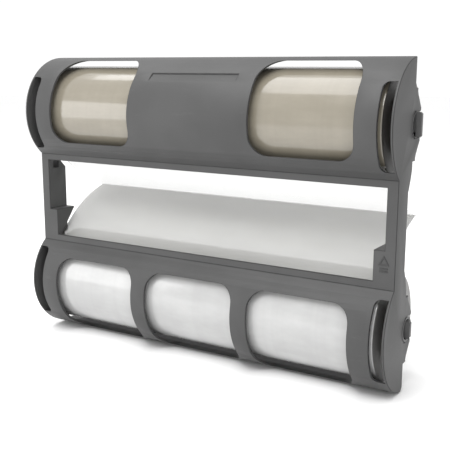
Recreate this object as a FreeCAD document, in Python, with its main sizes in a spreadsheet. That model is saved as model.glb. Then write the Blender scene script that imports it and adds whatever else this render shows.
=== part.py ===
"""Twin-roll film cartridge for a cold laminator, 12 inch film.

A moulded frame holds two film rolls, one above the other. X runs along the rolls, the front of the
cartridge faces -Y, and +Z is up. The origin is the centre of the bounding box. Each roll turns about
its own axis. Its right-hand hub turns in a U-slot of the frame, and its left-hand hub turns on a
fixed spindle with a spring-loaded friction brake. The two film webs meet behind the frame.
"""
import FreeCAD, Part
import math
import os
import re
import Sketcher

Vector = FreeCAD.Vector

# Driving dimensions in millimetres, and angles in degrees.
SIZES = {
    # frame: overall shape
    "end_room": 8.3,
    "axis_height": 73.7,
    "roll_clearance": 3.8,
    "shell_wall": 2.0,
    "plate_wall": 1.8,
    "front_depth": 29.7,
    "band_drop": 40.9,
    "back_edge": 4.0,
    "shell_reach": 1.0,
    # frame: windows, cut straight through from the front
    "window_width": 80.6,
    "window_pitch": 94.7,
    "window_rim": 3.0,
    "window_sill": 17.1,
    "window_corner": 13.5,
    # frame: curved slots beside the end plates
    "end_slot_width": 9.2,
    "end_slot_half": 29.8,
    "end_slot_corner": 4.4,
    # frame: end posts and guide blocks
    "web_side_gap": 2.1,
    "post_depth": 19.8,
    "post_wall": 2.0,
    "post_wall_depth": 21.1,
    "post_chamfer": 6.4,
    "pocket_rim": 1.6,
    "pocket_height": 6.0,
    "pocket_start": 6.2,
    "pocket_depth": 6.3,
    "block_width": 8.1,
    "block_height": 22.3,
    "block_depth": 21.8,
    "block_foot": 7.1,
    "block_clear": 2.8,
    # frame: bearing slots and the ears round them
    "bearing_radius": 9.4,
    "boss_wall": 3.6,
    "boss_length": 4.0,
    "boss_back": 4.0,
    "ear_half": 25.2,
    "ear_reach": 1.2,
    "lip_reach": 9.2,
    "lip_wall": 2.2,
    "lip_snap": 0.7,
    "mouth_depth": 4.6,
    "shoulder_drop": 5.8,
    "shoulder_rise": 11.0,
    "shoulder_step": 1.6,
    "heel_chamfer": 3.5,
    # frame: shallow ledge in the upper housing
    "ledge_width": 78.0,
    "ledge_depth": 0.9,
    "ledge_top_angle": 43.0,
    "ledge_end_angle": 53.0,
    # film and core
    "film_width": 304.8,
    "upper_film_radius": 39.2,
    "lower_film_radius": 40.5,
    "core_radius": 18.0,
    "core_wall": 2.5,
    # hubs
    "fit_gap": 0.05,
    "running_gap": 0.07,
    "end_play": 0.3,
    "plug_length": 20.0,
    "plug_wall": 2.0,
    "flange_step": 4.0,
    "flange_wall": 2.0,
    "collar_step": 2.6,
    "socket_wall": 1.83,
    "key_width": 4.0,
    "key_chamfer": 1.2,
    "upper_key_margin": 0.53,
    "upper_key_proud": 4.0,
    "lower_key_margin": 2.83,
    "lower_key_proud": 3.0,
    "journal_proud": 0.3,
    "hub_web": 6.0,
    # fixed spindle and its brake
    "spindle_radius": 5.0,
    "spindle_end": 2.0,
    "friction_gap": 0.45,
    "friction_wall": 2.0,
    "thrust_gap": 1.45,
    "thrust_wall": 1.2,
    "spring_length": 18.0,
    "spring_gap": 2.25,
    "spring_wire": 1.5,
    "spring_pitch": 4.2,
    "nut_wall": 3.45,
    "nut_height": 6.0,
    # film webs and the line where they meet
    "web_wall": 0.4,
    "web_gap": 0.3,
    "nip_back": 41.0,
    "nip_height": 3.0,
    "nip_flat": 2.0,
    "upper_nip_ease": 11.83,
    "lower_nip_ease": 14.75,
    "nip_bend": 5.0,
    "nip_straight": 8.0,
    "web_bend": 100.0,
}

# Places and sizes that follow from the driving ones. Formulas use these names as they use the others.
DERIVED = {
    # along X, from the middle to one end
    "film_end": "film_width / 2",
    "flange_end": "film_end + flange_wall",
    "plate_in": "film_end + end_room",
    "plate_out": "plate_in + plate_wall",
    "body_width": "2 * plate_out",
    "boss_in": "plate_in - boss_length",
    "collar_end": "boss_in - end_play",
    "post_in": "film_end + web_side_gap",
    "block_in": "post_in - block_width",
    # round the roll axes
    "housing_radius": "max(upper_film_radius; lower_film_radius) + roll_clearance + shell_wall",
    "hollow_radius": "housing_radius - shell_wall",
    "behind_all": "3 * housing_radius",
    "boss_radius": "bearing_radius + boss_wall",
    "lip_half": "bearing_radius + lip_wall",
    "mouth_half": "bearing_radius - lip_snap",
    "journal_radius": "bearing_radius - running_gap",
    "collar_radius": "bearing_radius + collar_step",
    "socket_radius": "journal_radius - socket_wall",
    "upper_key_half": "journal_radius - upper_key_margin",
    "lower_key_half": "journal_radius - lower_key_margin",
    "plug_radius": "core_radius - core_wall - fit_gap",
    "plug_bore": "plug_radius - plug_wall",
    "flange_radius": "core_radius + flange_step",
    "friction_radius": "plug_bore - friction_gap",
    "thrust_radius": "plug_bore - thrust_gap",
    "spring_radius": "spindle_radius + spring_gap + spring_wire / 2",
    "nut_half": "spindle_radius + fit_gap + nut_wall",
    "head_radius": "bearing_radius - fit_gap",
    # the brake's stack on the spindle, from the hub inwards
    "washer_out": "flange_end - hub_web",
    "thrust_out": "washer_out - friction_wall",
    "spring_out": "thrust_out - thrust_wall",
    "nut_out": "spring_out - spring_length",
    "nut_in": "nut_out - nut_height",
    # the front of the frame, measured forwards from the roll axes
    "post_back": "front_depth - post_depth",
    "post_wall_back": "front_depth - post_wall_depth",
    "chamfer_back": "post_wall_back + post_chamfer",
    "pocket_front": "front_depth - pocket_start",
    "block_back": "front_depth - block_depth",
    "foot_back": "front_depth - block_foot",
    # up the frame: the feed gap's edges keep their distance from the roll axes
    "gap_half": "axis_height - band_drop",
    "block_top": "gap_half - block_height",
    "window_low": "gap_half + window_sill",
    "window_high": "axis_height + housing_radius - window_rim",
    "pocket_high": "gap_half - pocket_rim",
    "pocket_low": "pocket_high - pocket_height",
    "ear_end": "axis_height - ear_half",
    "heel_height": "axis_height + housing_radius",
    # the bounding box is centred on the origin by these two shifts of every sub-part
    "shift_x": "-upper_key_proud / 2",
    "shift_y": "(housing_radius - nip_back) / 2",
}

ROLLS = {"upper": 1, "lower": -1}
SIDES = {"right": 1, "left": -1}
TURN_TO_X = FreeCAD.Rotation(Vector(0, 1, 0), 90)

doc = FreeCAD.newDocument("film_cartridge")
sheet = doc.addObject("Spreadsheet::Sheet", "Sizes")
for row, (alias, number) in enumerate(SIZES.items(), start=1):
    sheet.set("A%d" % row, alias)
    sheet.set("B%d" % row, str(number))
    sheet.setAlias("B%d" % row, alias)
doc.recompute()

NAME = re.compile(r"[a-z]\w*_\w+")
nodes = {}


def spell(found):
    """Spell one name out as the document's expressions need it."""
    name = found.group()
    if name in DERIVED:
        return "(" + formula(DERIVED[name]) + ")"
    return "Sizes." + name


def formula(text):
    """An expression of the document, made from one that uses the plain names of the sizes."""
    return NAME.sub(spell, text)


def value(text):
    """The number that an expression has now."""
    return float(sheet.evalExpression(formula(text)))


def bind(feature, **properties):
    """Bind properties to expressions. A double underscore in a name stands for a dot."""
    for name, text in properties.items():
        feature.setExpression(name.replace("__", "."), formula(text))


def place(feature, x="0", y="0", z="0", rotation=None):
    """Give a feature its place from three expressions, and a turn."""
    if rotation is not None:
        feature.Placement = FreeCAD.Placement(Vector(), rotation)
    bind(feature, Placement__Base__x=x, Placement__Base__y=y, Placement__Base__z=z)


def finish_node(name, feature, z="0"):
    """Name a finished sub-part and put it in the cartridge's own frame."""
    feature.Label = name
    bind(feature, Placement__Base__x="shift_x", Placement__Base__y="shift_y", Placement__Base__z=z)
    nodes[name] = feature


def new_body(name):
    return doc.addObject("PartDesign::Body", name + "_body")


def plane_sketch(body, name, role, offset=None):
    """A sketch on one of the body's own origin planes, moved along the plane's normal."""
    sketch = body.newObject("Sketcher::SketchObject", name)
    plane = [item for item in body.Origin.OriginFeatures if item.Role == role][0]
    sketch.AttachmentSupport = [(plane, "")]
    sketch.MapMode = "FlatFace"
    if offset is not None:
        sketch.setExpression("AttachmentOffset.Base.z", formula(offset))
    return sketch


def pin_point(sketch, geometry, end, u, v):
    """Dimension one point of a sketch from the sketch's origin."""
    for kind, text in (("DistanceX", u), ("DistanceY", v)):
        index = sketch.addConstraint(Sketcher.Constraint(kind, -1, 1, geometry, end, value(text)))
        sketch.setExpression("Constraints[%d]" % index, formula(text))


def draw_polygon(sketch, corners):
    """Draw a closed outline of straight lines through corners given as pairs of expressions."""
    points = [Vector(value(u), value(v), 0) for u, v in corners]
    count = len(points)
    for i in range(count):
        sketch.addGeometry(Part.LineSegment(points[i], points[(i + 1) % count]))
    for i in range(count):
        sketch.addConstraint(Sketcher.Constraint("Coincident", i, 2, (i + 1) % count, 1))
    for i, (u, v) in enumerate(corners):
        pin_point(sketch, i, 1, u, v)


def draw_rounded(sketch, left, right, low, high, radius):
    """Draw a rectangle with round corners. Its sides and its radius are expressions."""
    x0, x1, y0, y1, r = (value(text) for text in (left, right, low, high, radius))
    line, arc = Part.LineSegment, Part.ArcOfCircle
    sketch.addGeometry(line(Vector(x0 + r, y0, 0), Vector(x1 - r, y0, 0)))
    sketch.addGeometry(line(Vector(x1, y0 + r, 0), Vector(x1, y1 - r, 0)))
    sketch.addGeometry(line(Vector(x1 - r, y1, 0), Vector(x0 + r, y1, 0)))
    sketch.addGeometry(line(Vector(x0, y1 - r, 0), Vector(x0, y0 + r, 0)))
    centres = ((x1 - r, y0 + r, 270), (x1 - r, y1 - r, 0), (x0 + r, y1 - r, 90), (x0 + r, y0 + r, 180))
    for cx, cy, start in centres:
        circle = Part.Circle(Vector(cx, cy, 0), Vector(0, 0, 1), r)
        sketch.addGeometry(arc(circle, math.radians(start), math.radians(start + 90)))
    for i in range(4):
        sketch.addConstraint(Sketcher.Constraint("Tangent", i, 2, 4 + i, 1))
        sketch.addConstraint(Sketcher.Constraint("Tangent", 4 + i, 2, (i + 1) % 4, 1))
        sketch.addConstraint(Sketcher.Constraint("Horizontal" if i % 2 == 0 else "Vertical", i))
    for i in range(5, 8):
        sketch.addConstraint(Sketcher.Constraint("Equal", 4, i))
    for kind, geometry, text in (("DistanceY", 0, low), ("DistanceX", 1, right),
                                 ("DistanceY", 2, high), ("DistanceX", 3, left)):
        index = sketch.addConstraint(Sketcher.Constraint(kind, -1, 1, geometry, 1, value(text)))
        sketch.setExpression("Constraints[%d]" % index, formula(text))
    index = sketch.addConstraint(Sketcher.Constraint("Radius", 4, r))
    sketch.setExpression("Constraints[%d]" % index, formula(radius))


def prism(body, name, corners, start, length, cut=False):
    """Add or cut a straight-sided prism. Its outline is in (y, z) and it runs along +X from start."""
    sketch = plane_sketch(body, name + "_outline", "YZ_Plane", start)
    draw_polygon(sketch, corners)
    feature = body.newObject("PartDesign::Pocket" if cut else "PartDesign::Pad", name)
    feature.Profile = sketch
    feature.Reversed = cut
    bind(feature, Length=length)
    return feature


def ring(body, name, corners):
    """Turn an outline given in (x, radius) about the X axis."""
    sketch = plane_sketch(body, name + "_outline", "XZ_Plane")
    draw_polygon(sketch, corners)
    feature = body.newObject("PartDesign::Revolution", name)
    feature.Profile = sketch
    feature.ReferenceAxis = (sketch, ["H_Axis"])
    feature.Angle = 360
    return feature


def bar(body, name, cut=False, **sizes):
    """Add or cut a cylinder along +X, from x, at height z."""
    feature = body.newObject("PartDesign::%sCylinder" % ("Subtractive" if cut else "Additive"), name)
    bind(feature, Radius=sizes["radius"], Height=sizes["length"])
    place(feature, x=sizes["x"], z=sizes["z"], rotation=TURN_TO_X)
    return feature


def block(body, name, x, y, z, cut=False):
    """Add or cut a box. Each of x, y and z is a pair of expressions, low and high."""
    feature = body.newObject("PartDesign::%sBox" % ("Subtractive" if cut else "Additive"), name)
    bind(feature, Length="(%s) - (%s)" % (x[1], x[0]), Width="(%s) - (%s)" % (y[1], y[0]),
         Height="(%s) - (%s)" % (z[1], z[0]))
    place(feature, x=x[0], y=y[0], z=z[0])
    return feature


def span(side, inner, outer):
    """A pair of expressions, low first, for a stretch along X on the right (+1) or left (-1)."""
    if side > 0:
        return inner, outer
    return "-(%s)" % outer, "-(%s)" % inner


def frame_housings(body):
    """Two half-round housings with end walls, joined at the front by bands and posts."""
    whole, inside = ("-plate_out", "plate_out"), ("-plate_in", "plate_in")
    for roll, up in ROLLS.items():
        bar(body, roll + "_round", radius="housing_radius", length="body_width",
            x="-plate_out", z="%d * axis_height" % up)
    middle = ("-axis_height", "axis_height")
    block(body, "middle", whole, ("-front_depth", "-post_back"), middle)
    all_heights = ("-behind_all", "behind_all")
    block(body, "open_back", whole, ("shell_reach", "behind_all"), all_heights, cut=True)
    for side, sign in SIDES.items():
        plate = span(sign, "plate_in", "plate_out")
        block(body, side + "_plate_back", plate, ("-back_edge", "behind_all"), all_heights, cut=True)
    for roll, up in ROLLS.items():
        bar(body, roll + "_hollow", cut=True, radius="hollow_radius", length="2 * plate_in",
            x="-plate_in", z="%d * axis_height" % up)
    block(body, "behind_bands", inside, ("-front_depth + shell_wall", "behind_all"), middle, cut=True)
    block(body, "feed_gap", ("-post_in", "post_in"), ("-2 * front_depth", "behind_all"),
          ("-gap_half", "gap_half"), cut=True)


def frame_shoulders(body):
    """Cut the end plates back between the housings and the posts, and chamfer the lower heel."""
    for roll, up in ROLLS.items():
        prism(body, roll + "_shoulder", (
            ("-post_back", "%d * (gap_half - shoulder_drop)" % up),
            ("-back_edge - shoulder_step", "%d * (ear_end - shoulder_rise)" % up),
            ("-back_edge", "%d * (ear_end - shoulder_rise / 2)" % up),
            ("back_edge", "%d * (ear_end - shoulder_rise / 2)" % up),
            ("back_edge", "0"),
            ("-post_back", "0")), "-plate_out", "body_width", cut=True)
    for side, sign in SIDES.items():
        start, _ = span(sign, "plate_in", "plate_out")
        prism(body, side + "_heel", (
            ("-back_edge - heel_chamfer", "-heel_height"),
            ("-back_edge", "-heel_height"),
            ("-back_edge", "-heel_height + heel_chamfer")), start, "plate_wall", cut=True)


def frame_ears(body):
    """Ears with snap lips behind each bearing, bearing bosses inside, and the U-slots through both."""
    for roll, up in ROLLS.items():
        axis = "%d * axis_height" % up
        for side, sign in SIDES.items():
            start, _ = span(sign, "plate_in", "plate_out")
            for half, turn in (("top", 1), ("bottom", -1)):
                edge = axis + " + %d * " % turn
                prism(body, "_".join((roll, side, half, "ear")), (
                    ("-back_edge - shell_wall", edge + "bearing_radius"),
                    ("mouth_depth", edge + "bearing_radius"),
                    ("lip_reach - 2 * lip_snap", edge + "mouth_half"),
                    ("lip_reach", edge + "(mouth_half + lip_snap)"),
                    ("lip_reach", edge + "lip_half"),
                    ("2 * ear_reach", edge + "(ear_half - 4 * ear_reach)"),
                    ("ear_reach", edge + "(ear_half - 2 * ear_reach)"),
                    ("ear_reach", edge + "ear_half"),
                    ("-back_edge - shell_wall", edge + "ear_half")), start, "plate_wall")
            boss, _ = span(sign, "boss_in", "plate_in")
            bar(body, "_".join((roll, side, "boss")), radius="boss_radius", length="boss_length",
                x=boss, z=axis)
        bar(body, roll + "_bearing", cut=True, radius="bearing_radius", length="body_width",
            x="-plate_out", z=axis)
        block(body, roll + "_mouth", ("-plate_out", "plate_out"), ("0", "mouth_depth"),
              (axis + " - bearing_radius", axis + " + bearing_radius"), cut=True)
        block(body, roll + "_boss_back", ("-plate_in", "plate_in"), ("boss_back", "2 * boss_radius"),
              (axis + " - 2 * boss_radius", axis + " + 2 * boss_radius"), cut=True)


def frame_posts(body):
    """Inner walls of the two end posts, each with a pocket, and the hollow guide blocks on them."""
    beyond = "(gap_half + shell_wall / 2)"
    for side, sign in SIDES.items():
        wall = span(sign, "post_in", "post_in + post_wall")
        prism(body, side + "_post_wall", (
            ("-front_depth", "-" + beyond),
            ("-post_wall_back", "-" + beyond),
            ("-post_wall_back", "pocket_high - post_chamfer"),
            ("-chamfer_back", "pocket_high"),
            ("-chamfer_back", beyond),
            ("-front_depth", beyond)), wall[0], "post_wall")
        block(body, side + "_pocket", wall, ("-pocket_front", "-pocket_front + pocket_depth"),
              ("pocket_low", "pocket_high"), cut=True)
        start, _ = span(sign, "block_in", "post_in")
        prism(body, side + "_guide_block", (
            ("-front_depth", "-block_top"),
            ("-front_depth", "-" + beyond),
            ("-foot_back - shell_wall / 2", "-" + beyond),
            ("-foot_back", "-gap_half + block_clear"),
            ("-block_back", "-block_top - shell_wall / 2"),
            ("-block_back", "-block_top")), start, "block_width")
        block(body, side + "_guide_core", span(sign, "block_in + post_wall", "post_in"),
              ("-front_depth + shell_wall", "0"), ("-gap_half + shell_wall", "-block_top - post_wall"),
              cut=True)


def round_window(body, name, x, z, corner, offset=None):
    """A pocket with round corners, cut from the front. It goes right through if it has no offset."""
    sketch = plane_sketch(body, name + "_outline", "XZ_Plane", offset)
    draw_rounded(sketch, x[0], x[1], z[0], z[1], corner)
    pocket = body.newObject("PartDesign::Pocket", name)
    pocket.Profile = sketch
    if offset is None:
        pocket.Type = "ThroughAll"
        pocket.Midplane = True
    return pocket


def frame_windows(body):
    """Round-cornered windows, two above and three below, and the curved slots beside the plates."""
    for roll, up in ROLLS.items():
        middles = ("-window_pitch", "window_pitch") if up > 0 else ("-window_pitch", "0", "window_pitch")
        z = ("window_low", "window_high") if up > 0 else ("-window_high", "-window_low")
        for number, middle in enumerate(middles, start=1):
            x = (middle + " - window_width / 2", middle + " + window_width / 2")
            round_window(body, "%s_window_%d" % (roll, number), x, z, "window_corner")
        axis = "%d * axis_height" % up
        z = (axis + " - end_slot_half", axis + " + end_slot_half")
        for side, sign in SIDES.items():
            name = "%s_%s_end_slot" % (roll, side)
            x = span(sign, "plate_in - end_slot_width", "plate_in")
            slot = round_window(body, name, x, z, "end_slot_corner", "housing_radius + shell_wall")
            bind(slot, Length="housing_radius / 2 + shell_wall")
            block(body, name + "_square", span(sign, "plate_in - end_slot_width / 2", "plate_in"),
                  ("-2 * housing_radius", "-housing_radius / 2"), z, cut=True)


def frame_ledge(body):
    """A shallow ledge in the front of the upper housing, deepest at its top edge."""
    corners = []
    for depth, angle in (("-ledge_depth", "ledge_top_angle"), ("0", "ledge_end_angle"),
                         ("+ledge_depth", "ledge_end_angle"), ("+ledge_depth", "ledge_top_angle")):
        reach = "(housing_radius + (%s))" % depth
        corners.append(("-%s * sin(%s)" % (reach, angle), "axis_height + %s * cos(%s)" % (reach, angle)))
    prism(body, "ledge", corners, "-ledge_width / 2", "ledge_width", cut=True)


def make_frame():
    body = new_body("frame")
    frame_housings(body)
    frame_shoulders(body)
    frame_ears(body)
    frame_posts(body)
    frame_windows(body)
    frame_ledge(body)
    finish_node("frame", body)


def make_ring(name, x, inner, outer, z):
    """A plain ring along X: film, core or washer."""
    body = new_body(name)
    ring(body, name + "_turned", ((x[0], inner), (x[0], outer), (x[1], outer), (x[1], inner)))
    finish_node(name, body, z)


def make_drive_hub(roll, z):
    """Right-hand hub: a plug in the core, a flange, and a hollow journal with a key bar across it."""
    name = roll + "_drive_hub"
    body = new_body(name)
    ring(body, name + "_turned", (
        ("film_end - plug_length", "plug_bore"),
        ("film_end - plug_length", "plug_radius"),
        ("film_end", "plug_radius"),
        ("film_end", "flange_radius"),
        ("flange_end", "flange_radius"),
        ("flange_end", "collar_radius"),
        ("collar_end", "collar_radius"),
        ("collar_end", "journal_radius"),
        ("plate_out + journal_proud", "journal_radius"),
        ("plate_out + journal_proud", "socket_radius"),
        ("flange_end", "socket_radius"),
        ("flange_end", "0"),
        ("film_end - flange_wall", "0"),
        ("film_end - flange_wall", "plug_bore")))
    half, end = roll + "_key_half", "plate_out + %s_key_proud" % roll
    sketch = plane_sketch(body, name + "_key_outline", "XZ_Plane")
    draw_polygon(sketch, (
        ("flange_end - flange_wall / 2", "-" + half),
        (end + " - key_chamfer", "-" + half),
        (end, "-%s + key_chamfer" % half),
        (end, half + " - key_chamfer"),
        (end + " - key_chamfer", half),
        ("flange_end - flange_wall / 2", half)))
    key = body.newObject("PartDesign::Pad", name + "_key")
    key.Profile = sketch
    key.Midplane = True
    bind(key, Length="key_width")
    finish_node(name, body, z)


def make_brake_hub(roll, z):
    """Left-hand hub: a plug in the core with a flange and a bore that turns on the spindle."""
    name = roll + "_brake_hub"
    body = new_body(name)
    ring(body, name + "_turned", (
        ("-(film_end - plug_length)", "plug_bore"),
        ("-(film_end - plug_length)", "plug_radius"),
        ("-film_end", "plug_radius"),
        ("-film_end", "flange_radius"),
        ("-flange_end", "flange_radius"),
        ("-flange_end", "spindle_radius + running_gap"),
        ("-washer_out", "spindle_radius + running_gap"),
        ("-washer_out", "plug_bore")))
    finish_node(name, body, z)


def make_spindle(roll, z):
    """Fixed spindle: a head with flats in the left U-slot, a collar, and a long shaft for the brake."""
    name = roll + "_spindle"
    body = new_body(name)
    ring(body, name + "_turned", (
        ("-plate_out", "0"),
        ("-plate_out", "head_radius"),
        ("-boss_in", "head_radius"),
        ("-boss_in", "collar_radius"),
        ("-(flange_end + end_play)", "collar_radius"),
        ("-(flange_end + end_play)", "spindle_radius"),
        ("-(nut_in - spindle_end)", "spindle_radius"),
        ("-(nut_in - spindle_end)", "0")))
    block(body, name + "_flats", ("-plate_out", "-boss_in"), ("0", "mouth_depth"),
          ("-head_radius", "head_radius"))
    finish_node(name, body, z)


def make_spring(roll, z):
    """Compression spring of the brake, wound round the spindle."""
    name = roll + "_brake_spring"
    helix = doc.addObject("Part::Helix", name + "_path")
    bind(helix, Pitch="spring_pitch", Height="spring_length - spring_wire", Radius="spring_radius")
    wire = doc.addObject("Part::Circle", name + "_wire")
    wire.Placement = FreeCAD.Placement(Vector(), FreeCAD.Rotation(Vector(1, 0, 0), 90))
    bind(wire, Radius="spring_wire / 2", Placement__Base__x="spring_radius")
    sweep = doc.addObject("Part::Sweep", name + "_wound")
    sweep.Sections = [wire]
    sweep.Spine = (helix, ["Edge1"])
    sweep.Solid = True
    sweep.Frenet = True
    place(sweep, x="-spring_out + spring_wire / 2", rotation=TURN_TO_X)
    spring = doc.addObject("Part::Compound", name + "_group")
    spring.Links = [sweep]
    finish_node(name, spring, z)


def make_nut(roll, z):
    """Hexagonal nut on the spindle's end, which sets the brake's pull."""
    name = roll + "_tension_nut"
    prism_part = doc.addObject("Part::Prism", name + "_hexagon")
    prism_part.Polygon = 6
    bind(prism_part, Circumradius="nut_half / cos(30)", Height="nut_height")
    hole = doc.addObject("Part::Cylinder", name + "_hole")
    bind(hole, Radius="spindle_radius + fit_gap", Height="nut_height")
    for feature in (prism_part, hole):
        place(feature, x="-nut_out", rotation=TURN_TO_X)
    cut = doc.addObject("Part::Cut", name + "_cut")
    cut.Base = prism_part
    cut.Tool = hole
    finish_node(name, cut, z)


def make_roll(roll, up):
    z = "%d * axis_height" % up
    whole = ("-film_end", "film_end")
    make_ring(roll + "_film_roll", whole, "core_radius + fit_gap", roll + "_film_radius", z)
    make_ring(roll + "_core", whole, "core_radius - core_wall", "core_radius", z)
    make_drive_hub(roll, z)
    make_brake_hub(roll, z)
    make_spindle(roll, z)
    inner = "spindle_radius + fit_gap"
    make_ring(roll + "_friction_washer", ("-washer_out", "-thrust_out"), inner, "friction_radius", z)
    make_ring(roll + "_thrust_washer", ("-thrust_out", "-spring_out"), inner, "thrust_radius", z)
    make_spring(roll, z)
    make_nut(roll, z)


def square_to(angle, up):
    """A unit vector in the (y, z) plane, square to a web that rises by an angle towards its roll."""
    return Vector(0, math.sin(math.radians(angle)), up * math.cos(math.radians(angle)))


def nip_angle(roll, up):
    """The angle at which a web leaves the nip: by its ease flatter than the straight way to the roll."""
    reach = value(roll + "_film_radius + web_gap + web_wall / 2")
    rise, back = value("axis_height") - up * value("nip_height"), value("nip_back")
    straight = math.atan2(rise, back) - math.asin(reach / math.hypot(rise, back))
    return math.degrees(straight) - value(roll + "_nip_ease")


def web_path(start_angle, angle, up):
    """The middle line of a web that leaves the nip at one angle and its roll at another.

    It gives the points from the line where the webs meet back to the roll, and the centres of the two
    bends between them. The last point is the foot of the square line from the roll's axis."""
    meet = Vector(0, value("nip_back - nip_flat"), value("nip_height") + up * value("web_wall") / 2)
    tight_centre = meet + value("nip_bend") * square_to(0, up)
    bend_end = tight_centre - value("nip_bend") * square_to(start_angle, up)
    rise = math.radians(start_angle)
    straight_end = bend_end + value("nip_straight") * Vector(0, -math.cos(rise), up * math.sin(rise))
    wide_centre = straight_end + value("web_bend") * square_to(start_angle, up)
    wide_end = wide_centre - value("web_bend") * square_to(angle, up)
    rise = math.radians(angle)
    run = Vector(0, -math.cos(rise), up * math.sin(rise))
    axis = Vector(0, 0, up * value("axis_height"))
    foot = wide_end + run * (axis - wide_end).dot(run)
    return (meet, bend_end, straight_end, wide_end, foot), (tight_centre, wide_centre)


def leaving_angle(roll, start_angle, up):
    """Find by halving the angle at which the web's straight stretch just clears its roll."""
    reach = value(roll + "_film_radius + web_gap + web_wall / 2")
    axis = Vector(0, 0, up * value("axis_height"))
    low, high = start_angle, 80.0
    for _ in range(60):
        angle = (low + high) / 2
        foot = web_path(start_angle, angle, up)[0][-1]
        if (foot - axis).Length > reach:
            low = angle
        else:
            high = angle
    return angle


def bend(start, end, centre, angles, up):
    """The arc between two points of one side of a web."""
    reach = (start - centre).Length
    return Part.Arc(start, centre - reach * square_to(sum(angles) / 2, up), end)


def web_side(start_angle, angle, up, offset):
    """One side of a web's section: its middle line, moved square to itself by an offset."""
    points, centres = web_path(start_angle, angle, up)
    turns = (0, start_angle, start_angle, angle, angle)
    moved = [point + offset * square_to(turn, up) for point, turn in zip(points, turns)]
    start = Vector(0, value("nip_back"), moved[0].z)
    edges = [Part.LineSegment(start, moved[0]),
             bend(moved[0], moved[1], centres[0], (0, start_angle), up),
             Part.LineSegment(moved[1], moved[2]),
             bend(moved[2], moved[3], centres[1], (start_angle, angle), up),
             Part.LineSegment(moved[3], moved[4])]
    return start, edges, moved[4]


def make_web(roll, up):
    """The film between a roll and the line where the two webs meet, as wide as the roll."""
    half, width = value("web_wall") / 2, value("film_width")
    start_angle = nip_angle(roll, up)
    angle = leaving_angle(roll, start_angle, up)
    start_a, edges_a, end_a = web_side(start_angle, angle, up, half)
    start_b, edges_b, end_b = web_side(start_angle, angle, up, -half)
    edges = edges_a + [Part.LineSegment(end_a, end_b)] + edges_b + [Part.LineSegment(start_b, start_a)]
    wire = Part.Wire(Part.__sortEdges__([edge.toShape() for edge in edges]))
    face = Part.Face(wire)
    face.translate(Vector(-width / 2, 0, 0))
    web = doc.addObject("Part::Feature", roll + "_web_sheet")
    web.Shape = face.extrude(Vector(width, 0, 0))
    finish_node(roll + "_web", web)


def check_document():
    """Stop if any object failed, or if a sub-part isn't one closed valid solid."""
    doc.recompute()
    for item in doc.Objects:
        if "Invalid" in item.State or "Error" in item.State:
            raise RuntimeError("failed: %s %s" % (item.Name, item.State))
    for name, item in nodes.items():
        shape = item.Shape
        if shape.isNull() or not shape.isValid() or len(shape.Solids) != 1:
            raise RuntimeError("bad shape: %s" % name)


def export_nodes():
    os.makedirs("parts", exist_ok=True)
    for name, item in nodes.items():
        item.Shape.exportStep(os.path.join("parts", name + ".step"))
        print("%-24s %10.1f mm3" % (name, item.Shape.Volume))


make_frame()
for roll_name, direction in ROLLS.items():
    make_roll(roll_name, direction)
    make_web(roll_name, direction)
check_document()
export_nodes()
box = Part.makeCompound([item.Shape for item in nodes.values()]).BoundBox
print("box", [round(v, 2) for v in (box.XMin, box.XMax, box.YMin, box.YMax, box.ZMin, box.ZMax)])
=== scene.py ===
import math
import bmesh
import bpy
from mathutils import Matrix, Vector, noise


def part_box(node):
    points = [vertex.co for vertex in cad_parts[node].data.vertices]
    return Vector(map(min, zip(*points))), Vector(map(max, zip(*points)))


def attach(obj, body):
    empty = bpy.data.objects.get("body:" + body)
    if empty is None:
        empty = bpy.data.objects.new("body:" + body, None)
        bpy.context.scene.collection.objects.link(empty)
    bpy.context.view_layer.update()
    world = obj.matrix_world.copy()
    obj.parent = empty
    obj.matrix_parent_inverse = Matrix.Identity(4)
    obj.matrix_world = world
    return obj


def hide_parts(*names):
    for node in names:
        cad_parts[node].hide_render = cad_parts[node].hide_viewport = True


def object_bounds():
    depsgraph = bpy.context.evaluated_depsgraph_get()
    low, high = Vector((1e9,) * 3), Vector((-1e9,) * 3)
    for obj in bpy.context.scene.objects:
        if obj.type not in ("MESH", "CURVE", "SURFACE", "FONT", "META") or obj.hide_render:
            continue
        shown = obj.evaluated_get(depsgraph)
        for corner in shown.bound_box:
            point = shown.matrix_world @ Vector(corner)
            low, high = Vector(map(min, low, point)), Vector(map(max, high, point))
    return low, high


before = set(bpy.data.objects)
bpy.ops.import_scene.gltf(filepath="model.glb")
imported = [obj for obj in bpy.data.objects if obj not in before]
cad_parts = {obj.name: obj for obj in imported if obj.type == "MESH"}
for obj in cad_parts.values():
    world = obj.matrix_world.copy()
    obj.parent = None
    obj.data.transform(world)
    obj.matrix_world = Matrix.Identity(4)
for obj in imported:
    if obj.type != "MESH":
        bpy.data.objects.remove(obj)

cad_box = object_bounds()
MM = 0.001
SAME_POINT = 0.001 * MM
ROLLS = {"upper": 1, "lower": -1}  # which way each roll lies from the feed gap
FILM_SLOTS = {"upper": "film_beige", "lower": "film_white"}

# moulded and turned pieces
EDGE_ROUND = 0.45 * MM
SHARP_ANGLE = math.radians(28)
FLAT_ANGLE = math.radians(0.5)
ROUNDING_STEPS = 2
# new piece, the node it replaces, its material slot, whether it turns with its roll, edge rounding
ROLL_FITTINGS = (
    ("drive_hub_moulding", "drive_hub", "hub_plastic", True, 0.20 * MM),
    ("brake_hub_moulding", "brake_hub", "hub_plastic", True, 0.20 * MM),
    ("core_tube", "core", "core_board", True, 0.20 * MM),
    ("spindle_moulding", "spindle", "spindle_plastic", False, 0.15 * MM),
    ("felt_washer", "friction_washer", "felt", False, 0.30 * MM),
    ("steel_washer", "thrust_washer", "steel", False, 0.15 * MM),
    ("hex_nut", "tension_nut", "nut_plastic", False, 0.25 * MM),
)

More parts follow.
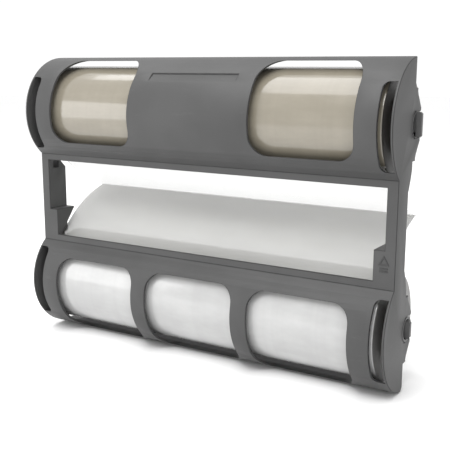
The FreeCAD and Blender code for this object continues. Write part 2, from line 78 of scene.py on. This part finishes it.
# wound film
TURN_STEPS = 144
LENGTH_STEPS = 110
END_RINGS = 26
CORNER_ROUND = 0.35 * MM
BORE_CLEAR = 0.02 * MM
GAUGE_DEPTH = 0.10 * MM      # thick and thin bands along the roll
GAUGE_LENGTH = 9.0 * MM
END_WANDER = 0.30 * MM       # how far the layers stray at the ends
WANDER_LAYERS = 1.1 * MM
ROLL_SEED = 40               # makes the two rolls differ
END_SLOPE = 0.45             # a face that looks along X more than this is part of an end

# webs: the film between the line where both meet and the roll
WEB_THICK = 0.13 * MM
WEB_CLEAR = 0.30 * MM
WEB_STEPS_ACROSS = 96
WEB_CREASE_ANGLE = math.radians(60)
NIP_CLEAR = 0.12 * MM
NIP_FLAT = 2.0 * MM
NIP_BEND = 5.0 * MM
NIP_BEND_STEPS = 6
NIP_STRAIGHT = 8.0 * MM
NIP_STRAIGHT_STEPS = 4
WEB_BEND = 100.0 * MM
WEB_BEND_STEPS = 16
RUN_STEPS = 8
WRAP_ANGLE = math.radians(8)
WRAP_STEPS = 6
WEB_RIPPLE = 0.22 * MM
RIPPLE_ACROSS = 34.0 * MM
RIPPLE_ALONG = 70.0 * MM

# plain raised mark on the right guide block: a triangle over two bars
MARK_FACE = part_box("upper_web")[0].y - 4.45 * MM
MARK_X = 152.0 * MM
MARK_HEIGHT = -18.6 * MM
MARK_RADIUS = 4.6 * MM
MARK_LINE = 0.9 * MM
MARK_PROUD = 0.45 * MM
MARK_BAR_DROPS = (4.6 * MM, 6.6 * MM)
MARK_BAR_HALF = 3.0 * MM
MARK_BAR_ROUND = 0.12 * MM
MARK_FRONT_RIM = 0.35        # share of the rim tone on the mark's front

# shading: the stretch of a noise value that most of a surface lies in
NOISE_MIDDLE = (0.3, 0.7)

# stage and camera
FLOOR_RADIUS = 6.0
FLOOR_DROP = 0.2 * MM
BACKDROP_STRENGTH = 1.05
LENS = 63.575
SENSOR_WIDTH = 36
CAMERA_PLACE = (0.33662, -0.53445, 0.11273)
CAMERA_HEADING = math.radians(31.61)
CAMERA_TILT = math.radians(78.72)
CAMERA_ROLL = math.radians(0.12)


# ---- shader node helpers ----

def add_node(tree, kind, **values):
    """Add a shader node, and set its sockets (names as in the editor) or its own settings."""
    node = tree.nodes.new("ShaderNode" + kind)
    for name, value in values.items():
        if hasattr(node, name):
            setattr(node, name, value)
        else:
            node.inputs[name.replace("_", " ")].default_value = value
    return node


def feed(tree, socket, value):
    """Link an output socket to a socket, or set the socket's own value."""
    if isinstance(value, bpy.types.NodeSocket):
        tree.links.new(value, socket)
    else:
        socket.default_value = value


def blend_colors(tree, factor, first, second):
    """Mix two colours. Each may be a socket or a plain colour. Gives the output socket."""
    mix = add_node(tree, "Mix", data_type="RGBA")
    for socket, value in ((mix.inputs[0], factor), (mix.inputs[6], first), (mix.inputs[7], second)):
        feed(tree, socket, value)
    return mix.outputs[2]


def blend_numbers(tree, factor, first, second):
    """Mix two numbers. Each may be a socket or a plain number. Gives the output socket."""
    mix = add_node(tree, "Mix", data_type="FLOAT")
    for socket, value in ((mix.inputs[0], factor), (mix.inputs[2], first), (mix.inputs[3], second)):
        feed(tree, socket, value)
    return mix.outputs[0]


def compute(tree, operation, first, second=0.0):
    """One step of arithmetic on sockets or numbers. Gives the output socket."""
    step = add_node(tree, "Math", operation=operation)
    feed(tree, step.inputs[0], first)
    feed(tree, step.inputs[1], second)
    return step.outputs[0]


def remap(tree, value, low, high, to_low=0.0, to_high=1.0):
    """Map a stretch of values smoothly onto another, clamped. Gives the output socket."""
    step = add_node(tree, "MapRange", interpolation_type="SMOOTHSTEP")
    for socket, number in zip(step.inputs[1:5], (low, high, to_low, to_high)):
        socket.default_value = number
    feed(tree, step.inputs[0], value)
    return step.outputs[0]


def noise_at(tree, vector, scale, detail=2.0, roughness=0.5):
    """Cloudy noise from 0 to 1. Gives the output socket."""
    node = add_node(tree, "TexNoise", Detail=detail, Roughness=roughness)
    feed(tree, node.inputs["Vector"], vector)
    feed(tree, node.inputs["Scale"], scale)
    return node.outputs["Fac"]


def noise_along(tree, value, scale, detail, roughness):
    """Noise from 0 to 1 that changes along one number only. Gives the output socket."""
    node = add_node(tree, "TexNoise", noise_dimensions="1D", Scale=1.0, Detail=detail, Roughness=roughness)
    tree.links.new(compute(tree, "MULTIPLY", value, scale), node.inputs["W"])
    return node.outputs["Fac"]


def object_place(tree, stretch=(1, 1, 1)):
    """Object coordinates times a stretch, which is in features to the metre along X, Y and Z."""
    place = add_node(tree, "TexCoord")
    mapping = add_node(tree, "Mapping")
    mapping.inputs["Scale"].default_value = stretch
    tree.links.new(place.outputs["Object"], mapping.inputs["Vector"])
    return mapping.outputs["Vector"]


def new_group(name, inputs, outputs):
    """Start a node group. Inputs are name: default, outputs are names; Color in a name makes a colour."""
    def add_socket(label, way):
        kind = "NodeSocketColor" if "Color" in label else "NodeSocketFloat"
        return group.interface.new_socket(label, in_out=way, socket_type=kind)

    group = bpy.data.node_groups.new(name, "ShaderNodeTree")
    for label, default in inputs.items():
        add_socket(label, "INPUT").default_value = default
    for label in outputs:
        add_socket(label, "OUTPUT")
    return group, group.nodes.new("NodeGroupInput"), group.nodes.new("NodeGroupOutput")


def put_out(group, outside, **values):
    """Link sockets to the outputs of a group."""
    for label, value in values.items():
        group.links.new(value, outside.inputs[label])


def use_group(tree, group, **values):
    """Place a node group in a material with its own values."""
    node = tree.nodes.new("ShaderNodeGroup")
    node.node_tree = group
    for name, value in values.items():
        feed(tree, node.inputs[name.replace("_", " ")], value)
    return node


# ---- shared effects ----

def make_grain_group():
    """Moulded plastic: spark-eroded grain, slow clouding of the tone, and fine scuffs."""
    group, inside, outside = new_group(
        "moulded_grain", {"Grain Scale": 2600.0, "Cloud Scale": 26.0, "Scuff Amount": 0.55},
        ("Height", "Cloud", "Scuff"))
    place = object_place(group)
    grain = noise_at(group, place, inside.outputs["Grain Scale"], 3.0, 0.65)
    cloud = noise_at(group, place, inside.outputs["Cloud Scale"], 3.0, 0.55)
    streaks = noise_at(group, object_place(group, (60, 520, 300)), 1.0, 4.0, 0.7)
    scuff = compute(group, "MULTIPLY", remap(group, streaks, 0.60, 0.74), inside.outputs["Scuff Amount"])
    put_out(group, outside, Height=grain, Cloud=cloud, Scuff=scuff)
    return group


def make_edge_group():
    """Tone of rims and edges: a base colour that turns to a rim colour where the rim attribute is set. A
    rim colour darker than the base is painted shade along the edges.
    """
    group, inside, outside = new_group(
        "edge_tone", {"Base Color": (0.1, 0.1, 0.1, 1), "Rim Color": (0.05, 0.05, 0.05, 1)}, ("Color",))
    rim = add_node(group, "Attribute", attribute_name="rim")
    # patchy strength of the rim tone along an edge; where the rim colour is darker this is painted edge
    # shade
    rim_unevenness = noise_at(group, object_place(group), 170.0, 2.0)
    share = compute(group, "MULTIPLY", rim.outputs["Fac"], remap(group, rim_unevenness, 0.2, 0.6, 0.7, 1.0))
    put_out(group, outside, Color=blend_colors(group, share, inside.outputs["Base Color"],
                                               inside.outputs["Rim Color"]))
    return group


def make_wound_group():
    """Wound film about an X axis: layer rings by radius, gauge bands along X, and a slow mottle."""
    group, inside, outside = new_group(
        "wound_layers", {"Axis Y": 0.0, "Axis Z": 0.0, "Layer Count": 2400.0, "Band Scale": 60.0},
        ("Rings", "Bands", "Mottle"))
    place = add_node(group, "TexCoord")
    split = add_node(group, "SeparateXYZ")
    group.links.new(place.outputs["Object"], split.inputs[0])
    across = compute(group, "SUBTRACT", split.outputs["Y"], inside.outputs["Axis Y"])
    above = compute(group, "SUBTRACT", split.outputs["Z"], inside.outputs["Axis Z"])
    radius = compute(group, "SQRT", compute(group, "ADD", compute(group, "MULTIPLY", across, across),
                                            compute(group, "MULTIPLY", above, above)))
    rings = noise_along(group, radius, inside.outputs["Layer Count"], 4.0, 0.75)
    bands = noise_along(group, split.outputs["X"], inside.outputs["Band Scale"], 3.0, 0.6)
    mottle = noise_at(group, object_place(group, (18, 45, 45)), 1.0, 4.0, 0.62)
    put_out(group, outside, Rings=rings, Bands=bands, Mottle=mottle)
    return group


grain_group = make_grain_group()
edge_group = make_edge_group()
wound_group = make_wound_group()


# ---- materials ----

def tone(red, green=None, blue=None):
    """An opaque colour. One number alone is a grey."""
    return (red, red, red, 1) if green is None else (red, green, blue, 1)


def scaled(color, factor):
    """A lighter or darker tone of an opaque colour."""
    return tuple(factor * c for c in color[:3]) + (1,)


def start_material(name, **settings):
    """A material with a Principled shader whose plain values are set on its own sockets."""
    material = bpy.data.materials.new(name)
    material.use_nodes = True
    shader = material.node_tree.nodes["Principled BSDF"]
    for label, value in settings.items():
        shader.inputs[label.replace("_", " ")].default_value = value
    return material, material.node_tree, shader


def add_bump(tree, shader, height, distance, strength=1.0):
    """Let a height from 0 to 1 stand for a relief of this depth."""
    bump = add_node(tree, "Bump", Strength=strength, Distance=distance)
    tree.links.new(height, bump.inputs["Height"])
    tree.links.new(bump.outputs["Normal"], shader.inputs["Normal"])


def moulded_plastic(name, dark, light, rim, roughness, grain_depth):
    """Matte moulded plastic with grain, clouding, scuffs, and rims of another tone, which is painted edge
    shade where it is darker than the body.
    """
    material, tree, shader = start_material(name, Specular_IOR_Level=0.5)
    grain = use_group(tree, grain_group)
    body = blend_colors(tree, remap(tree, grain.outputs["Cloud"], *NOISE_MIDDLE), dark, light)
    # rims take the rim colour: painted shade along the edges where it is darker than the body
    edged = use_group(tree, edge_group, Base_Color=body, Rim_Color=rim)
    scuffed = blend_colors(tree, compute(tree, "MULTIPLY", grain.outputs["Scuff"], 0.16),
                           edged.outputs["Color"], scaled(light, 2.4))
    tree.links.new(scuffed, shader.inputs["Base Color"])
    rough = compute(tree, "SUBTRACT", roughness, compute(tree, "MULTIPLY", grain.outputs["Scuff"], 0.10))
    tree.links.new(rough, shader.inputs["Roughness"])
    add_bump(tree, shader, grain.outputs["Height"], grain_depth, 0.55)
    return material


def film_material(name, roll, dark, light, end_dark, end_light, roughness):
    """Glossy wound film: slow mottle and gauge bands outside, and layer rings on its ends."""
    material, tree, shader = start_material(name, Specular_IOR_Level=0.6, Coat_Roughness=0.05)
    axis = roll_axis(roll)
    wound = use_group(tree, wound_group, Axis_Y=axis.y, Axis_Z=axis.z)
    mottle = wound.outputs["Mottle"]
    at_end = add_node(tree, "Attribute", attribute_name="wound_end").outputs["Fac"]

    side = blend_colors(tree, remap(tree, mottle, *NOISE_MIDDLE), dark, light)
    banded = blend_colors(tree, remap(tree, wound.outputs["Bands"], 0.35, 0.7, 0.0, 0.25), side,
                          scaled(dark, 0.9))
    end = blend_colors(tree, remap(tree, wound.outputs["Rings"], 0.35, 0.65), end_dark, end_light)
    tree.links.new(blend_colors(tree, at_end, banded, end), shader.inputs["Base Color"])

    smooth = remap(tree, mottle, *NOISE_MIDDLE, roughness * 0.8, roughness * 1.3)
    tree.links.new(blend_numbers(tree, at_end, smooth, 0.45), shader.inputs["Roughness"])
    tree.links.new(remap(tree, at_end, 0.0, 1.0, 0.35, 0.0), shader.inputs["Coat Weight"])
    height = compute(tree, "ADD", compute(tree, "MULTIPLY", wound.outputs["Rings"], at_end),
                     compute(tree, "MULTIPLY", mottle, 0.6))
    add_bump(tree, shader, height, 0.12 * MM, 0.5)
    return material


def web_material(name, dark, light, cover):
    """Thin satin film. Cover is the share of it that isn't seen through."""
    material, tree, shader = start_material(name, Specular_IOR_Level=0.5, Roughness=0.3, Alpha=cover)
    clouds = noise_at(tree, object_place(tree, (6, 16, 16)), 1.0, 3.0)
    tree.links.new(blend_colors(tree, remap(tree, clouds, *NOISE_MIDDLE), dark, light),
                   shader.inputs["Base Color"])
    creases = noise_at(tree, object_place(tree, (60, 9, 9)), 1.0, 2.0)
    add_bump(tree, shader, creases, 0.10 * MM, 0.25)
    return material


def board_material(name):
    """Wound grey-brown board: paper fibres and a spiral seam."""
    material, tree, shader = start_material(name, Roughness=0.85)
    fibres = noise_at(tree, object_place(tree, (900, 160, 160)), 1.0, 4.0, 0.7)
    paper = blend_colors(tree, remap(tree, fibres, *NOISE_MIDDLE), tone(0.30, 0.21, 0.125),
                         tone(0.46, 0.34, 0.22))
    spiral = add_node(tree, "TexWave", wave_type="BANDS", bands_direction="X", Scale=5.5, Distortion=0.4)
    feed(tree, spiral.inputs["Vector"], object_place(tree, (1, 2.2, 2.2)))
    seam = remap(tree, spiral.outputs["Fac"], 0.0, 0.03, 1.0, 0.0)
    tree.links.new(blend_colors(tree, seam, paper, tone(0.16, 0.11, 0.07)), shader.inputs["Base Color"])
    add_bump(tree, shader, fibres, 0.1 * MM, 0.6)
    return material


def felt_material(name):
    """Pressed felt: fibres that cross each other, and flecks of darker wool."""
    material, tree, shader = start_material(name, Roughness=0.95, Sheen_Weight=0.3, Sheen_Roughness=0.6)
    fibres = noise_at(tree, object_place(tree, (2400, 700, 700)), 1.0, 5.0, 0.75)
    wool = blend_colors(tree, fibres, tone(0.36, 0.34, 0.30), tone(0.62, 0.60, 0.55))
    fleck = remap(tree, noise_at(tree, object_place(tree), 1400.0, 2.0), 0.62, 0.7, 0.0, 0.6)
    tree.links.new(blend_colors(tree, fleck, wool, tone(0.16, 0.15, 0.14)), shader.inputs["Base Color"])
    add_bump(tree, shader, fibres, 0.3 * MM, 0.8)
    return material


def steel_material(name):
    """Bright zinc on steel: a fine drawn grain and cloudy patches of the plating."""
    material, tree, shader = start_material(name, Metallic=1.0)
    drawn = noise_at(tree, object_place(tree, (300, 1800, 1800)), 1.0, 3.0)
    patches = noise_at(tree, object_place(tree), 160.0, 3.0, 0.6)
    plated = blend_colors(tree, remap(tree, patches, 0.35, 0.65), tone(0.52, 0.53, 0.55),
                          tone(0.66, 0.66, 0.65))
    tree.links.new(plated, shader.inputs["Base Color"])
    feed(tree, shader.inputs["Roughness"], remap(tree, drawn, *NOISE_MIDDLE, 0.22, 0.42))
    add_bump(tree, shader, drawn, 0.03 * MM, 0.5)
    return material


def roll_axis(roll):
    """The middle of a roll, on its axis."""
    low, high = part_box(roll + "_film_roll")
    return (low + high) / 2


MATERIALS = {
    # rim: on the frame and hubs a much darker tone, painted shade along the edges; on the spindle and nut a
    # lighter rim tone
    "frame_plastic": moulded_plastic(
        "frame_plastic", dark=tone(0.045), light=tone(0.052), rim=tone(0.008),
        roughness=0.55, grain_depth=0.05 * MM),
    "hub_plastic": moulded_plastic(
        "hub_plastic", dark=tone(0.052), light=tone(0.060), rim=tone(0.022),
        roughness=0.45, grain_depth=0.03 * MM),
    "spindle_plastic": moulded_plastic(
        "spindle_plastic", dark=tone(0.030, 0.030, 0.031), light=tone(0.040), rim=tone(0.07),
        roughness=0.38, grain_depth=0.02 * MM),
    "nut_plastic": moulded_plastic(
        "nut_plastic", dark=tone(0.60, 0.58, 0.53), light=tone(0.68, 0.66, 0.61),
        rim=tone(0.74, 0.73, 0.69), roughness=0.36, grain_depth=0.02 * MM),
    "film_beige": film_material(
        "film_beige", "upper", dark=tone(0.208, 0.188, 0.148), light=tone(0.240, 0.219, 0.175),
        end_dark=tone(0.060, 0.055, 0.050), end_light=tone(0.110, 0.102, 0.094), roughness=0.14),
    "film_white": film_material(
        "film_white", "lower", dark=tone(0.385, 0.385, 0.383), light=tone(0.44, 0.44, 0.437),
        end_dark=tone(0.15, 0.147, 0.143), end_light=tone(0.26, 0.256, 0.25), roughness=0.12),
    "core_board": board_material("core_board"),
    "felt": felt_material("felt"),
    "steel": steel_material("steel"),
}
WEB_MATERIALS = {
    "upper": web_material("upper_film_web", tone(0.84, 0.84, 0.83), tone(0.88, 0.88, 0.87), cover=0.26),
    "lower": web_material("lower_film_web", tone(0.40, 0.40, 0.385), tone(0.46, 0.46, 0.445), cover=0.60),
}


# ---- pieces ----

def finish_piece(name, bm, slot, body, nodes=(), sharp_angle=SHARP_ANGLE, material=None):
    """Turn a bmesh into a finished piece with its material, body and material slot."""
    mesh = bpy.data.meshes.new(name)
    bm.to_mesh(mesh)
    bm.free()
    piece = bpy.data.objects.new(name, mesh)
    bpy.context.scene.collection.objects.link(piece)
    mesh.shade_smooth()
    mesh.set_sharp_from_angle(angle=sharp_angle)
    mesh.materials.append(material or MATERIALS[slot])
    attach(piece, body)
    if nodes:
        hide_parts(*nodes)
    return piece


def eased_copy(name, node, slot, body, width):
    """A copy of a node with its sharp edges rounded, as a mould or a cutter leaves them."""
    bm = bmesh.new()
    bm.from_mesh(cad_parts[node].data)
    bmesh.ops.remove_doubles(bm, verts=bm.verts, dist=SAME_POINT)
    bmesh.ops.dissolve_limit(bm, angle_limit=FLAT_ANGLE, verts=bm.verts, edges=bm.edges)
    # the rounded faces carry the rim tone, which is painted edge shade where the material's rim colour is
    # darker
    rim = bm.faces.layers.float.new("rim")
    sharp = [edge for edge in bm.edges
             if len(edge.link_faces) == 2 and edge.calc_face_angle(0.0) > SHARP_ANGLE]
    rounded = bmesh.ops.bevel(bm, geom=sharp, offset=width, offset_type="OFFSET", affect="EDGES",
                              segments=ROUNDING_STEPS, profile=0.5, material=-1, clamp_overlap=False)
    for face in rounded["faces"]:
        face[rim] = 1.0
    finish_piece(name, bm, slot, body, [node])


def wound_profile(low, high, bore, radius, seed):
    """Half section of a wound roll as (x, r) points: up the left end, along the film, down the right."""
    def gauge(x):
        share = 0.5 + 0.5 * noise.noise(Vector((x / GAUGE_LENGTH, seed, 0.3)))
        return GAUGE_DEPTH * share

    def wander(r, side):
        return END_WANDER * (0.5 + 0.5 * noise.noise(Vector((r / WANDER_LAYERS, 7.0 * side, seed))))

    def end(x, side):
        inner = radius - 2 * CORNER_ROUND
        rings = [bore + (inner - bore) * i / END_RINGS for i in range(END_RINGS)]
        return [(x - side * wander(r, side), r) for r in rings] + [
            (x - side * CORNER_ROUND, radius - CORNER_ROUND)]

    start, stop = low.x + 3 * CORNER_ROUND, high.x - 3 * CORNER_ROUND
    along = [start + (stop - start) * i / LENGTH_STEPS for i in range(LENGTH_STEPS + 1)]
    return end(low.x, -1) + [(x, radius - gauge(x)) for x in along] + end(high.x, 1)[::-1]


def wound_film(roll):
    """One roll of wound film, turned about its axis."""
    node = roll + "_film_roll"
    low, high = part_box(node)
    axis = roll_axis(roll)
    core_low, core_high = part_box(roll + "_core")
    bore = (core_high.z - core_low.z) / 2 + BORE_CLEAR
    bm = bmesh.new()
    wound_end = bm.faces.layers.float.new("wound_end")
    profile = wound_profile(low, high, bore, (high.z - low.z) / 2, axis.z * ROLL_SEED)
    verts = [bm.verts.new((x, axis.y, axis.z + r)) for x, r in profile]
    edges = [bm.edges.new((verts[i - 1], verts[i])) for i in range(len(verts))]
    bmesh.ops.spin(bm, geom=verts + edges, cent=axis, axis=(1, 0, 0), angle=2 * math.pi,
                   steps=TURN_STEPS, use_merge=True)
    bmesh.ops.remove_doubles(bm, verts=bm.verts, dist=SAME_POINT)
    bmesh.ops.recalc_face_normals(bm, faces=bm.faces)
    bm.normal_update()
    for face in bm.faces:
        face[wound_end] = 1.0 if abs(face.normal.x) > END_SLOPE else 0.0
    finish_piece(roll + "_wound_film", bm, FILM_SLOTS[roll], roll + "_roll", [node])


def web_points(roll, up):
    """Side line of a web as (y, height) points, from the meeting line to a little way round the roll.

    It is flat at the meeting line, takes an easy bend and a short straight run, then a wide bend and a
    straight run that just touches the roll. Heights are counted towards the roll: up times z.
    """
    low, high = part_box(roll + "_web")
    meet_height, foot_height = sorted((up * low.z, up * high.z))
    axis = roll_axis(roll)
    film_low, film_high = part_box(roll + "_film_roll")
    reach = (film_high.z - film_low.z) / 2 + WEB_CLEAR + WEB_THICK / 2

    def on_roll(angle):
        return Vector((axis.y - reach * math.sin(angle), up * axis.z - reach * math.cos(angle)))

    def go(heading, length, steps=1):
        for _ in range(steps):
            points.append(points[-1] + Vector((-math.cos(heading), math.sin(heading))) * (length / steps))

    def curve(first, last, radius, steps):
        for i in range(steps):
            go(first + (last - first) * (i + 0.5) / steps, radius * abs(last - first) / steps)

    leave = math.acos((up * axis.z - foot_height) / (reach - WEB_THICK / 2))
    start, foot = Vector((high.y, meet_height + NIP_CLEAR)), on_roll(leave)
    # the angle after the first bend, so that the last straight run ends just where the film leaves the roll
    back, rise = start.x - NIP_FLAT - foot.x, foot.y - start.y
    across = rise * math.cos(leave) - back * math.sin(leave) - NIP_BEND * math.cos(leave) + WEB_BEND
    bends = WEB_BEND - NIP_BEND
    turn = math.acos(across / math.hypot(bends, NIP_STRAIGHT)) - math.atan2(NIP_STRAIGHT, bends)
    nip = leave - turn

    points = [start]
    go(0.0, NIP_FLAT)
    curve(0.0, nip, NIP_BEND, NIP_BEND_STEPS)
    go(nip, NIP_STRAIGHT, NIP_STRAIGHT_STEPS)
    curve(nip, leave, WEB_BEND, WEB_BEND_STEPS)
    go(leave, (foot - points[-1]).length, RUN_STEPS)
    return points + [on_roll(leave + WRAP_ANGLE * i / WRAP_STEPS) for i in range(1, WRAP_STEPS + 1)]


def film_web(roll, up):
    """A web: one thin sheet from the meeting line to its roll, with a faint ripple between the two."""
    low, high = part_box(roll + "_web")
    line = web_points(roll, up)
    bm = bmesh.new()
    verts = [bm.verts.new((low.x, y, up * z)) for y, z in line]
    edges = [bm.edges.new(pair) for pair in zip(verts, verts[1:])]
    step = Vector(((high.x - low.x) / WEB_STEPS_ACROSS, 0, 0))
    for _ in range(WEB_STEPS_ACROSS):
        grown = bmesh.ops.extrude_edge_only(bm, edges=edges)["geom"]
        fresh = [item for item in grown if isinstance(item, bmesh.types.BMVert)]
        edges = [item for item in grown if isinstance(item, bmesh.types.BMEdge)
                 and all(vert in fresh for vert in item.verts)]
        bmesh.ops.translate(bm, verts=fresh, vec=step)
    bmesh.ops.recalc_face_normals(bm, faces=bm.faces)
    far, near = line[1].x, line[-WRAP_STEPS - 1].x
    for vert in bm.verts:
        share = (vert.co.y - near) / (far - near)
        if 0 < share < 1:
            swell = noise.noise(Vector((vert.co.x / RIPPLE_ACROSS, vert.co.y / RIPPLE_ALONG, 2.0 + up)))
            vert.co.z += up * WEB_RIPPLE * math.sin(math.pi * share) ** 2 * (1 + swell)
    piece = finish_piece(roll + "_film_web", bm, "film_web", "root", [roll + "_web"],
                         WEB_CREASE_ANGLE, WEB_MATERIALS[roll])
    thick = piece.modifiers.new("film_thickness", "SOLIDIFY")
    thick.thickness = WEB_THICK
    thick.offset = 0.0


def finish_mark(name, bm):
    """Finish part of the raised mark, with the darker rim tone, painted shade, on its sides and some of
    that tone on its front.
    """
    rim = bm.faces.layers.float.new("rim")
    bm.normal_update()
    for face in bm.faces:
        face[rim] = MARK_FRONT_RIM if face.normal.y < -0.9 else 1.0
    finish_piece(name, bm, "frame_plastic", "root")


def make_mark_triangle():
    """The raised outline of a triangle."""
    bm = bmesh.new()
    upright = Matrix.Translation((MARK_X, MARK_FACE + MARK_PROUD, MARK_HEIGHT))
    bmesh.ops.create_circle(bm, cap_ends=True, segments=3, radius=MARK_RADIUS,
                            matrix=upright @ Matrix.Rotation(math.pi / 2, 4, "X"))
    bmesh.ops.inset_individual(bm, faces=bm.faces[:], thickness=MARK_LINE, use_even_offset=True)
    inner = min(bm.faces, key=lambda face: (face.calc_center_median() - upright.translation).length)
    bmesh.ops.delete(bm, geom=[inner], context="FACES")
    grown = bmesh.ops.extrude_face_region(bm, geom=bm.faces[:])["geom"]
    front = [item for item in grown if isinstance(item, bmesh.types.BMVert)]
    bmesh.ops.translate(bm, verts=front, vec=(0, -2 * MARK_PROUD, 0))
    bmesh.ops.recalc_face_normals(bm, faces=bm.faces)
    finish_mark("feed_mark_triangle", bm)


def make_mark_bar(number, height):
    """A short raised bar with rounded edges."""
    bm = bmesh.new()
    middle = Matrix.Translation((MARK_X, MARK_FACE, height))
    size = Matrix.Diagonal((2 * MARK_BAR_HALF, 2 * MARK_PROUD, MARK_LINE, 1))
    bmesh.ops.create_cube(bm, size=1.0, matrix=middle @ size)
    bmesh.ops.bevel(bm, geom=bm.edges[:], offset=MARK_BAR_ROUND, offset_type="OFFSET", affect="EDGES",
                    segments=ROUNDING_STEPS, profile=0.5, material=-1)
    finish_mark("feed_mark_bar_%d" % number, bm)


eased_copy("moulded_frame", "frame", "frame_plastic", "root", EDGE_ROUND)
for roll, up in ROLLS.items():
    wound_film(roll)
    film_web(roll, up)
    for piece_name, node_name, slot, turns, width in ROLL_FITTINGS:
        body = roll + "_roll" if turns else "root"
        eased_copy("%s_%s" % (roll, piece_name), "%s_%s" % (roll, node_name), slot, body, width)
    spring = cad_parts[roll + "_brake_spring"]
    spring.material_slots[0].material = MATERIALS["steel"]
make_mark_triangle()
for number, drop in enumerate(MARK_BAR_DROPS, start=1):
    make_mark_bar(number, MARK_HEIGHT - drop)


# ---- stage, lights and camera ----

def make_floor():
    """A wide pale floor under the cartridge."""
    bm = bmesh.new()
    bmesh.ops.create_circle(bm, cap_ends=True, segments=96, radius=FLOOR_RADIUS,
                            matrix=Matrix.Translation((0, 0, cad_box[0][2] - FLOOR_DROP)))
    mesh = bpy.data.meshes.new("floor")
    bm.to_mesh(mesh)
    bm.free()
    floor = bpy.data.objects.new("floor", mesh)
    bpy.context.scene.collection.objects.link(floor)
    material, tree, shader = start_material("pale_floor", Roughness=0.7)
    clouds = noise_at(tree, object_place(tree), 3.0, 3.0)
    tree.links.new(blend_colors(tree, clouds, tone(0.93), tone(0.95)), shader.inputs["Base Color"])
    mesh.materials.append(material)


def aimed_at_middle(azimuth, height_angle, distance):
    """A place that faces the middle. Azimuth runs from -Y towards +X, in degrees."""
    az, el = math.radians(azimuth), math.radians(height_angle)
    place = Vector((math.sin(az) * math.cos(el), -math.cos(az) * math.cos(el), math.sin(el))) * distance
    return Matrix.Translation(place) @ place.to_track_quat("Z", "Y").to_matrix().to_4x4()


def add_softbox(name, place, width, height, radiance):
    """A soft rectangular light, as bright all over as the radiance says."""
    data = bpy.data.lights.new(name, "AREA")
    data.shape = "RECTANGLE"
    data.size, data.size_y = width, height
    data.energy = radiance * math.pi * width * height
    light = bpy.data.objects.new(name, data)
    light.matrix_world = place
    bpy.context.scene.collection.objects.link(light)


def make_lights():
    """A white surround, two softboxes in front, and two overhead that streak the glossy film."""
    world = bpy.data.worlds.new("studio")
    bpy.context.scene.world = world
    world.use_nodes = True
    backdrop = world.node_tree.nodes["Background"]
    backdrop.inputs["Color"].default_value = tone(1)
    backdrop.inputs["Strength"].default_value = BACKDROP_STRENGTH
    add_softbox("left_softbox", aimed_at_middle(-45, 3, 1.3), 0.42, 0.90, 2.8)
    add_softbox("front_softbox", aimed_at_middle(5, 52, 1.4), 0.75, 0.60, 7.6)
    add_softbox("top_softbox", Matrix.Translation((-0.20, -0.16, 1.1)), 0.75, 0.86, 2.8)
    add_softbox("strip_light", Matrix.Translation((-0.77, 0.15, 1.1)), 0.40, 0.34, 3.0)


def make_camera():
    """A long lens a little above the middle, from the front right."""
    data = bpy.data.cameras.new("camera")
    data.lens = LENS
    data.sensor_width = SENSOR_WIDTH
    data.clip_start = 0.01
    camera = bpy.data.objects.new("camera", data)
    turn = Matrix.Rotation(CAMERA_HEADING, 4, "Z") @ Matrix.Rotation(CAMERA_TILT, 4, "X")
    camera.matrix_world = (Matrix.Translation(CAMERA_PLACE) @ turn
                           @ Matrix.Rotation(CAMERA_ROLL, 4, "Z"))
    bpy.context.scene.collection.objects.link(camera)
    bpy.context.scene.camera = camera
    bpy.context.scene.view_settings.view_transform = "Standard"


make_floor()
make_lights()
make_camera()
